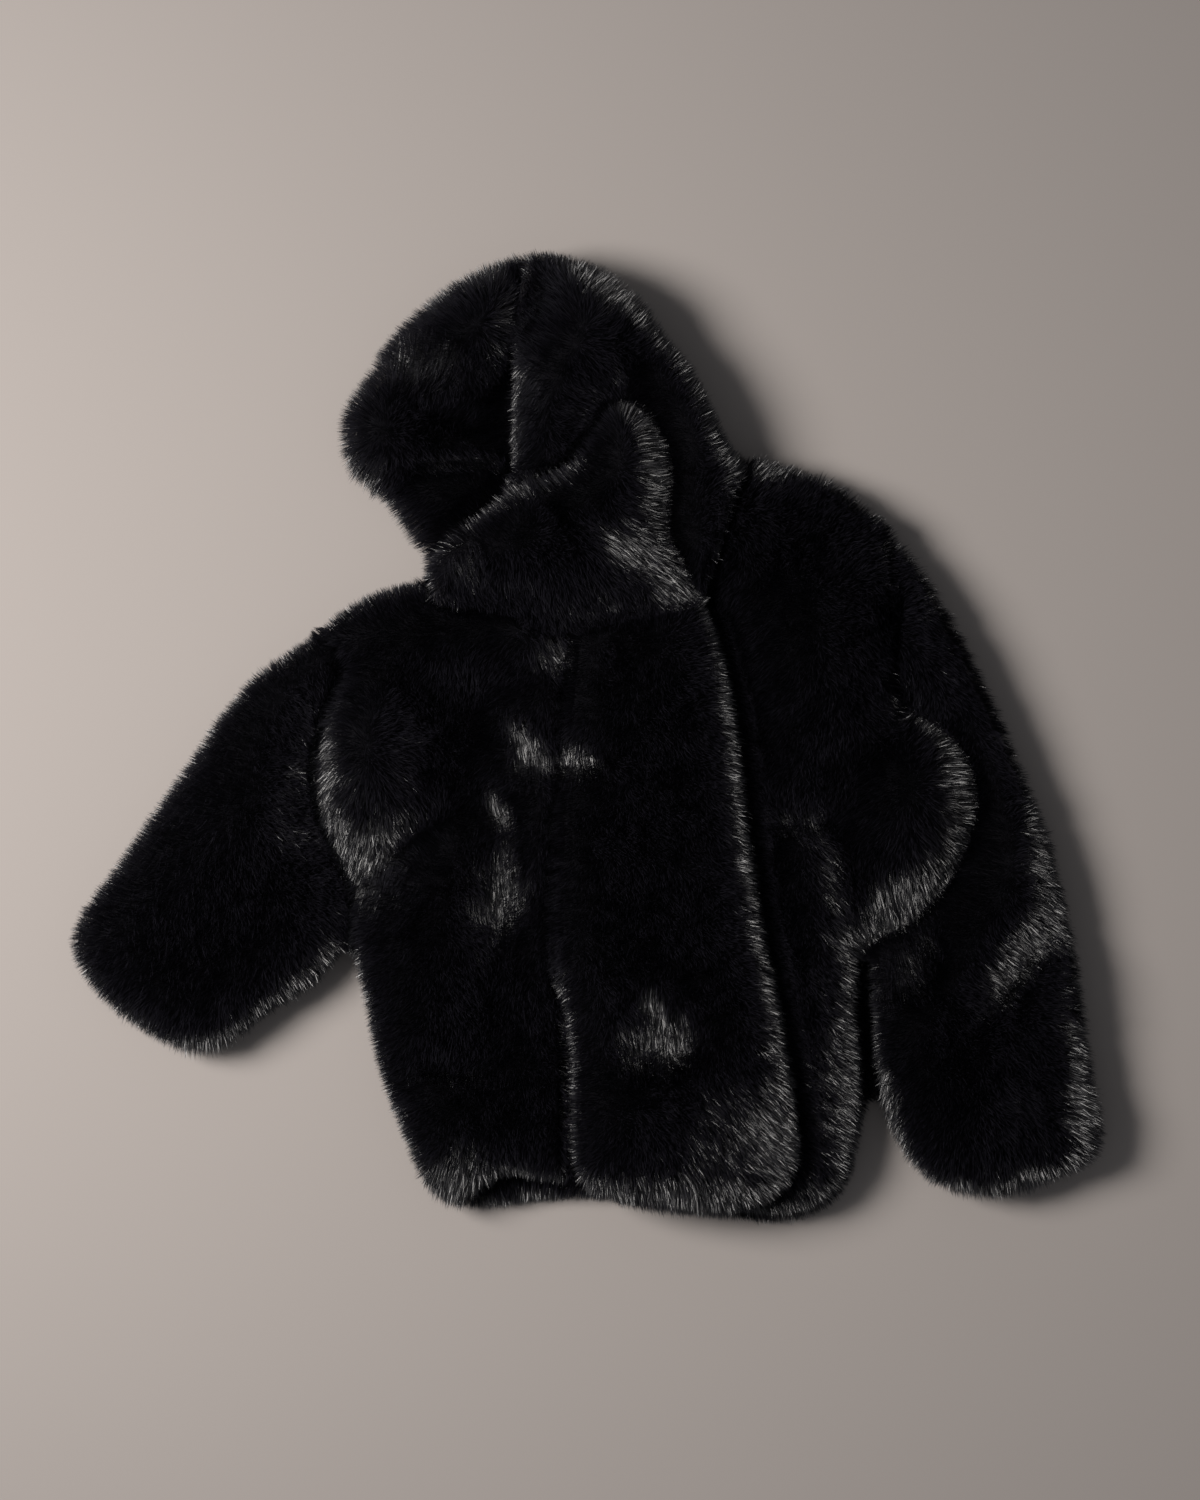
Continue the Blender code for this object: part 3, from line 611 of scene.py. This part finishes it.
def pile_material(name, colours):
    """Glossy black pile: darker at the roots as painted shade, with a slow change of tone over the panel."""
    material, tree, shader = new_material("pile_" + name)
    strand = tree.nodes.new("ShaderNodeAttribute")
    strand.attribute_name = "strand"
    place = tree.nodes.new("ShaderNodeTexCoord")
    noise = tree.nodes.new("ShaderNodeTexNoise")
    noise.inputs["Scale"].default_value = 14.0
    noise.inputs["Detail"].default_value = 3.0
    tree.links.new(place.outputs["Object"], noise.inputs["Vector"])
    tone = tree.nodes.new("ShaderNodeMath")  # half of the noise, and how far up the strand it is, for the painted shade at the roots
    tone.operation = "MULTIPLY_ADD"
    tone.inputs[1].default_value = 0.5
    tree.links.new(noise.outputs["Fac"], tone.inputs[0])
    tree.links.new(strand.outputs["Fac"], tone.inputs[2])
    # This ramp paints shade: the deep colour at the roots, that of the tips further up.
    ramp = ramp_between(tree, colours.deep, colours.tips)
    ramp.color_ramp.elements[0].position = 0.1
    tree.links.new(tone.outputs[0], ramp.inputs["Fac"])
    tree.links.new(ramp.outputs["Color"], shader.inputs["Base Color"])
    gloss = tree.nodes.new("ShaderNodeMapRange")
    gloss.inputs["To Min"].default_value = 0.30
    gloss.inputs["To Max"].default_value = 0.42
    tree.links.new(noise.outputs["Fac"], gloss.inputs["Value"])
    tree.links.new(gloss.outputs["Result"], shader.inputs["Roughness"])
    across = tree.nodes.new("ShaderNodeTangent")
    across.direction_type = "UV_MAP"
    across.uv_map = "OFBake"
    tree.links.new(across.outputs["Tangent"], shader.inputs["Tangent"])
    shader.inputs["Anisotropic"].default_value = 0.85
    shader.inputs["IOR"].default_value = 1.55
    shader.inputs["Specular IOR Level"].default_value = 0.9
    return material


def cloth_material(name, colours):
    """Matt black knitted backing, with fine loops in its surface."""
    material, tree, shader = new_material("backing_" + name)
    place = tree.nodes.new("ShaderNodeTexCoord")
    loops = tree.nodes.new("ShaderNodeTexVoronoi")
    loops.inputs["Scale"].default_value = 600.0
    tree.links.new(place.outputs["Object"], loops.inputs["Vector"])
    ramp = ramp_between(tree, [0.6 * value for value in colours.backing], colours.backing)
    tree.links.new(loops.outputs["Distance"], ramp.inputs["Fac"])
    tree.links.new(ramp.outputs["Color"], shader.inputs["Base Color"])
    shader.inputs["Roughness"].default_value = 0.9
    shader.inputs["Specular IOR Level"].default_value = 0.1
    return material


def floor_material(colour):
    """Plain matt studio paper."""
    material, _, shader = new_material("floor_paper")
    shader.inputs["Base Color"].default_value = (*colour, 1)
    shader.inputs["Roughness"].default_value = 0.85
    shader.inputs["Specular IOR Level"].default_value = 0.2
    return material


def dress(panels):
    """Backing and pile for each of the panels."""
    pile = bpy.context.scene.jacket_pile
    colours = bpy.context.scene.jacket_colours
    for name, panel in panels.items():
        cloth, draw, stand = backing_cloth(name, panel, pile.depth)
        cloth.data.materials.clear()
        cloth.data.materials.append(cloth_material(name, colours))
        fur = coat(name, panel, cloth, draw, stand, pile)
        fur.data.materials.append(pile_material(name, colours))


class JacketBody(bpy.types.Operator):
    """Backing and pile for the back, the fronts and the front band"""

    bl_idname = "jacket.body"
    bl_label = "Body"

    def execute(self, context):
        dress(BODY)
        return {"FINISHED"}


class JacketSleeves(bpy.types.Operator):
    """Backing and pile for both sleeves"""

    bl_idname = "jacket.sleeves"
    bl_label = "Sleeves"

    def execute(self, context):
        dress(SLEEVES)
        return {"FINISHED"}


class JacketHood(bpy.types.Operator):
    """Backing and pile for the hood and the collar"""

    bl_idname = "jacket.hood"
    bl_label = "Hood and collar"

    def execute(self, context):
        dress(HOOD)
        return {"FINISHED"}


class JacketStage(bpy.types.Operator):
    """The floor, the lamp, the air and the camera over the jacket"""

    bl_idname = "jacket.stage"
    bl_label = "Studio"

    def execute(self, context):
        studio = context.scene.jacket_studio
        bpy.ops.object.select_all(action="DESELECT")
        bpy.ops.mesh.primitive_plane_add(size=FLOOR_SIZE, location=(0, 0, 0))
        floor = context.active_object
        floor.name = "floor"
        floor.data.materials.append(floor_material(studio.floor))

        world = bpy.data.worlds.new("studio_air")
        context.scene.world = world
        world.use_nodes = True
        air = world.node_tree.nodes["Background"]
        air.inputs["Color"].default_value = AIR_COLOUR
        air.inputs["Strength"].default_value = studio.fill

        lamp = bpy.data.lights.new("key", "AREA")
        lamp.shape = "DISK"
        lamp.size = KEY_SIZE
        lamp.spread = math.radians(KEY_SPREAD)
        lamp.energy = studio.key
        lamp.color = KEY_COLOUR
        key = placed("key", lamp)
        key.location = KEY_PLACE
        key.rotation_euler = (Vector(KEY_AIM) - key.location).to_track_quat("-Z", "Y").to_euler()

        lens = bpy.data.cameras.new("camera")
        lens.lens = studio.lens
        lens.sensor_width = SENSOR_WIDTH
        lens.clip_end = FARTHEST
        camera = placed("camera", lens)
        camera.location = (*CAMERA_OVER, CAMERA_LEVEL + studio.distance)
        context.scene.camera = camera
        context.scene.view_settings.view_transform = "Standard"
        return {"FINISHED"}


class JacketPanel(bpy.types.Panel):
    """Lists the jacket's sizes, colours and steps."""

    bl_idname = "VIEW3D_PT_jacket"
    bl_label = "Jacket"
    bl_space_type = "VIEW_3D"
    bl_region_type = "UI"
    bl_category = "Jacket"

    def draw(self, context):
        for group in ("jacket_pile", "jacket_colours", "jacket_studio"):
            settings = getattr(context.scene, group)
            for name in settings.__annotations__:
                self.layout.prop(settings, name)
        for step in STEPS:
            self.layout.operator(step.bl_idname)


STEPS = (JacketBody, JacketSleeves, JacketHood, JacketStage)
CLASSES = (JacketPile, JacketColours, JacketStudio, *STEPS, JacketPanel)


def register():
    for kind in CLASSES:
        bpy.utils.register_class(kind)
    bpy.types.Scene.jacket_pile = bpy.props.PointerProperty(type=JacketPile)
    bpy.types.Scene.jacket_colours = bpy.props.PointerProperty(type=JacketColours)
    bpy.types.Scene.jacket_studio = bpy.props.PointerProperty(type=JacketStudio)


def unregister():
    del bpy.types.Scene.jacket_studio
    del bpy.types.Scene.jacket_colours
    del bpy.types.Scene.jacket_pile
    for kind in reversed(CLASSES):
        bpy.utils.unregister_class(kind)


def main():
    register()
    bpy.ops.jacket.stage()
    bpy.ops.jacket.body()
    bpy.ops.jacket.sleeves()
    bpy.ops.jacket.hood()


if __name__ == "__main__":
    main()
